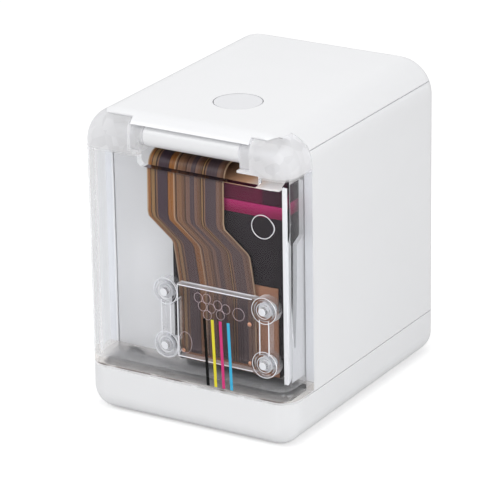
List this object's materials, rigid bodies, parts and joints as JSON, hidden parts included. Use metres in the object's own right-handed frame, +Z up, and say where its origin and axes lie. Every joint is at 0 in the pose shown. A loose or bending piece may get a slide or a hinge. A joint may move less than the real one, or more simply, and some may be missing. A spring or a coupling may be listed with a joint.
{
  "type": "handheld ink-jet printer",
  "caption": "Handheld ink-jet printer: rounded white cube with a clear flip-up front cover over the cartridge and flex cable, a round top button and a pull-off base cap.",
  "frame": {"origin": "middle of the underside of the base cap, on the surface it stands on", "axes": "+X to the right seen from the front, +Y from the front to the back, +Z up; the clear cover faces -Y"},
  "size_m": [0.051, 0.066, 0.069],
  "materials": {
    "white_plastic": "smooth satin gloss white housing plastic",
    "frame_plastic": "matt light grey inner frame",
    "dark_plastic": "matt dark printing face",
    "screw_steel": "bright steel",
    "clear_plastic": "clear moulded plastic, lightly grey",
    "block_plastic": "clear moulded plastic",
    "pad_rubber": "soft matt rubber",
    "flex_film": "amber film over copper tracks",
    "black_ink": "black printed line",
    "yellow_ink": "yellow printed line",
    "magenta_ink": "magenta printed line",
    "cyan_ink": "cyan printed line",
    "black_plastic": "matt black",
    "magenta_plastic": "deep magenta lid",
    "contact_film": "orange brown film with copper pads",
    "nozzle_metal": "gold coloured nozzle foil",
    "board_lacquer": "green lacquered board",
    "connector_plastic": "ivory connector",
    "tin_plate": "tinned sheet",
    "cell_wrap": "grey cell wrap",
    "button_plastic": "satin light grey button",
    "tyre_rubber": "black rubber tyre",
    "encoder_metal": "thin slotted disc",
    "magnet_plate": "nickel plated magnet"
  },
  "bodies": {
    "housing": {"body_shell": "white_plastic", "top_cover": "white_plastic", "inner_frame": "frame_plastic", "bottom_plate": "dark_plastic", "frame_screws": "screw_steel", "hinge_pin": "screw_steel", "flex_tail": "flex_film", "cartridge_body": "black_plastic", "cartridge_lid": "magenta_plastic", "cartridge_contacts": "contact_film", "nozzle_plate": "nozzle_metal", "bay_stud": "black_plastic", "main_board": "board_lacquer", "flex_connector": "connector_plastic", "radio_can": "tin_plate", "usb_socket": "tin_plate", "battery": "cell_wrap", "switch_board": "board_lacquer", "tact_switch": "black_plastic", "encoder_sensor": "black_plastic", "body_magnets": "magnet_plate"},
    "door": {"clear_cover": "clear_plastic", "press_block": "block_plastic", "block_screws": "screw_steel", "pressure_pad": "pad_rubber", "flex_front": "flex_film", "guide_line_black": "black_ink", "guide_line_yellow": "yellow_ink", "guide_line_magenta": "magenta_ink", "guide_line_cyan": "cyan_ink"},
    "button": {"power_button": "button_plastic"},
    "left_roller": {"left_axle": "screw_steel", "left_tyres": "tyre_rubber", "encoder_disc": "encoder_metal"},
    "right_roller": {"right_axle": "screw_steel", "right_tyres": "tyre_rubber"},
    "cap": {"base_cap": "white_plastic", "cap_pad": "pad_rubber", "cap_magnets": "magnet_plate"}
  },
  "joints": [
    {"name": "cover_hinge", "type": "hinge", "parent": "housing", "child": "door", "pos_m": [0, -0.0296, 0.0642], "axis": [-1, 0, 0], "range_deg": [0, 90]},
    {"name": "button_press", "type": "slide", "parent": "housing", "child": "button", "axis": [0, 0, -1], "range_m": [0, 0.0006], "stiffness_N_per_m": 800},
    {"name": "left_roller_spin", "type": "hinge", "parent": "housing", "child": "left_roller", "pos_m": [-0.019, 0.001, 0.0088], "axis": [0, 1, 0], "continuous": true},
    {"name": "right_roller_spin", "type": "hinge", "parent": "housing", "child": "right_roller", "pos_m": [0.019, 0.001, 0.0088], "axis": [0, 1, 0], "continuous": true},
    {"name": "cap_pull", "type": "slide", "parent": "housing", "child": "cap", "axis": [0, 0, -1], "range_m": [0, 0.02]}
  ]
}
